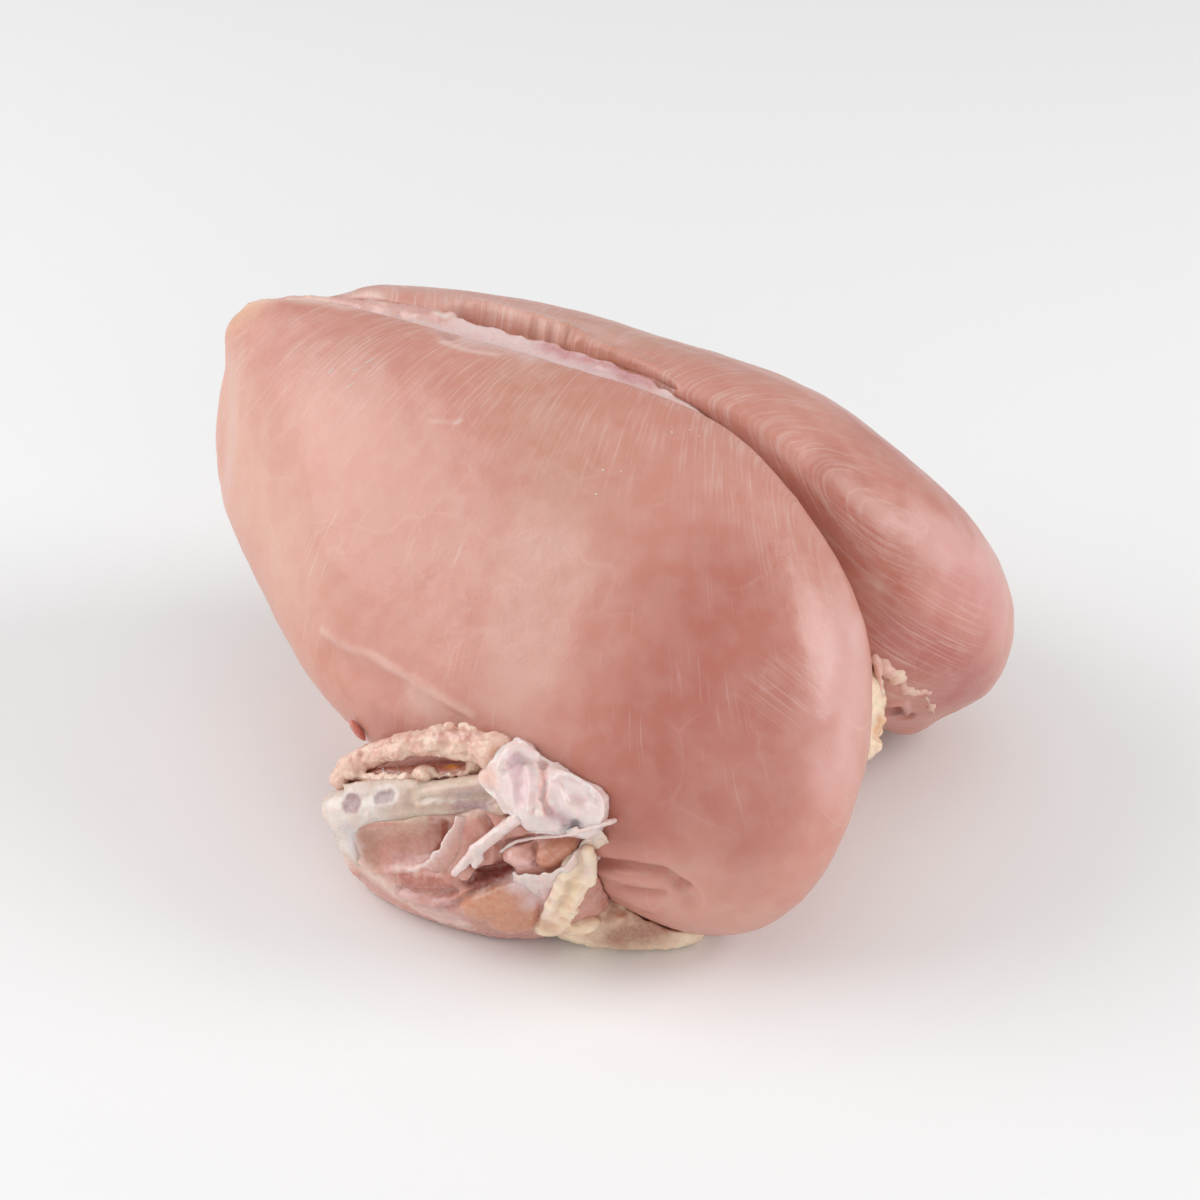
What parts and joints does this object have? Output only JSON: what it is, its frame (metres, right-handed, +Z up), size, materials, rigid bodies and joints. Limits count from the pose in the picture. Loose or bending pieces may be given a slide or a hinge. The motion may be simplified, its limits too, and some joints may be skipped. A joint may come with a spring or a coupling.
{
  "type": "whole chicken breast on the bone",
  "caption": "Raw skinless whole chicken breast on the bone, lying keel up: plump twin muscles, the rib cage beneath and a cut shoulder joint on each side.",
  "frame": {"origin": "on the surface that the breast lies on, under the middle of its box", "axes": "+X along the keel towards the neck end, +Y towards the bird's right, +Z up, keel uppermost"},
  "size_m": [0.172, 0.154, 0.0962],
  "materials": {
    "meat": "moist raw breast meat, pale pink, satin sheen",
    "shoulder_meat": "moist raw meat with membrane, darker pink",
    "cartilage": "wet translucent cartilage, white to lilac",
    "bone": "wet grey-white bone",
    "fat": "moist cream fat",
    "membrane": "moist membrane over ribs"
  },
  "bodies": {
    "root": {"breast_left": "meat", "joint_left": "cartilage", "blade_bone_left": "bone", "fat_roll_left": "fat", "fat_flap_left": "fat", "shoulder_left": "shoulder_meat", "breast_right": "meat", "joint_right": "cartilage", "blade_bone_right": "bone", "fat_roll_right": "fat", "fat_flap_right": "fat", "shoulder_right": "shoulder_meat", "keel": "cartilage", "rib_cage": "membrane", "neck_fat": "fat"}
  },
  "joints": []
}
